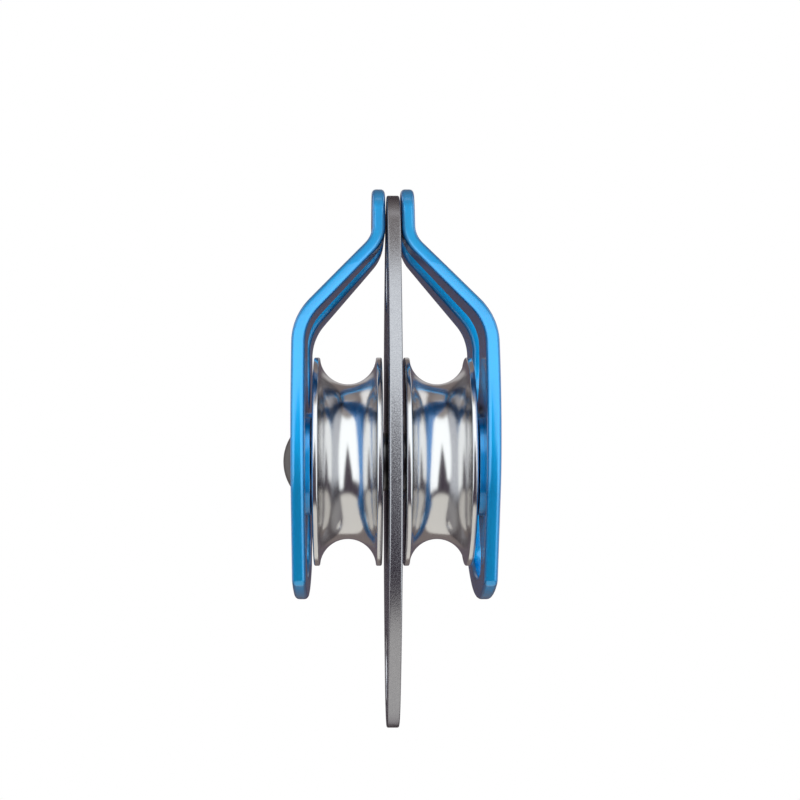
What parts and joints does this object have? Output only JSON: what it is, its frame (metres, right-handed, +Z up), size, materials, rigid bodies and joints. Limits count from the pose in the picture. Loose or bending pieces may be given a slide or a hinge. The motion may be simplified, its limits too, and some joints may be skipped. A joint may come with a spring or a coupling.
{
  "type": "double block",
  "caption": "Double rope block: grooved ball-bearing sheaves on one axle, a fixed centre plate with attachment and becket eyes, and bent blue side plates that swing open.",
  "frame": {"origin": "middle of the attachment eye, halfway through the centre plate's thickness", "axes": "+X along the attachment eye's bore and the axle, +Z up from the axle to the eye, +Y across the plates"},
  "size_m": [0.0531, 0.072, 0.1311],
  "materials": {
    "side_plate": "blue anodised, satin",
    "centre_plate": "grey anodised, fine blasted grain",
    "sheave": "turned and polished",
    "axle": "dark stainless steel, satin",
    "bush": "ground stainless steel",
    "spacer": "turned stainless steel",
    "bearing_steel": "ground bearing steel",
    "cage": "pressed steel",
    "shield": "pressed steel, satin",
    "circlip": "blackened spring steel"
  },
  "bodies": {
    "frame": {"centre_plate": "centre_plate", "axle_pin": "axle", "axle_screw": "axle", "left_plate_bush": "bush", "left_outer_spacer": "spacer", "left_inner_spacer": "spacer", "left_inner_washer": "bush", "left_bearing_inner_ring": "bearing_steel", "right_plate_bush": "bush", "right_outer_spacer": "spacer", "right_inner_spacer": "spacer", "right_inner_washer": "bush", "right_bearing_inner_ring": "bearing_steel"},
    "left_side_plate": {"left_side_plate": "side_plate"},
    "left_sheave": {"left_sheave": "sheave", "left_bearing_outer_ring": "bearing_steel", "left_outer_shield": "shield", "left_inner_shield": "shield", "left_circlip": "circlip"},
    "left_ball_cage": {"left_bearing_cage": "cage", "left_bearing_balls": "bearing_steel"},
    "right_side_plate": {"right_side_plate": "side_plate"},
    "right_sheave": {"right_sheave": "sheave", "right_bearing_outer_ring": "bearing_steel", "right_outer_shield": "shield", "right_inner_shield": "shield", "right_circlip": "circlip"},
    "right_ball_cage": {"right_bearing_cage": "cage", "right_bearing_balls": "bearing_steel"}
  },
  "joints": [
    {"name": "left_plate_swing", "type": "hinge", "parent": "frame", "child": "left_side_plate", "pos_m": [0, 0, -0.0452], "axis": [1, 0, 0], "continuous": true},
    {"name": "left_sheave_turn", "type": "hinge", "parent": "frame", "child": "left_sheave", "pos_m": [0, 0, -0.0452], "axis": [1, 0, 0], "continuous": true},
    {"name": "left_ball_cage_turn", "type": "hinge", "parent": "frame", "child": "left_ball_cage", "pos_m": [0, 0, -0.0452], "axis": [1, 0, 0], "continuous": true},
    {"name": "right_plate_swing", "type": "hinge", "parent": "frame", "child": "right_side_plate", "pos_m": [0, 0, -0.0452], "axis": [1, 0, 0], "continuous": true},
    {"name": "right_sheave_turn", "type": "hinge", "parent": "frame", "child": "right_sheave", "pos_m": [0, 0, -0.0452], "axis": [1, 0, 0], "continuous": true},
    {"name": "right_ball_cage_turn", "type": "hinge", "parent": "frame", "child": "right_ball_cage", "pos_m": [0, 0, -0.0452], "axis": [1, 0, 0], "continuous": true}
  ],
  "couplings": [
    {"joint": "left_ball_cage_turn", "follows": "left_sheave_turn", "ratio": 0.61905},
    {"joint": "right_ball_cage_turn", "follows": "right_sheave_turn", "ratio": 0.61905}
  ]
}
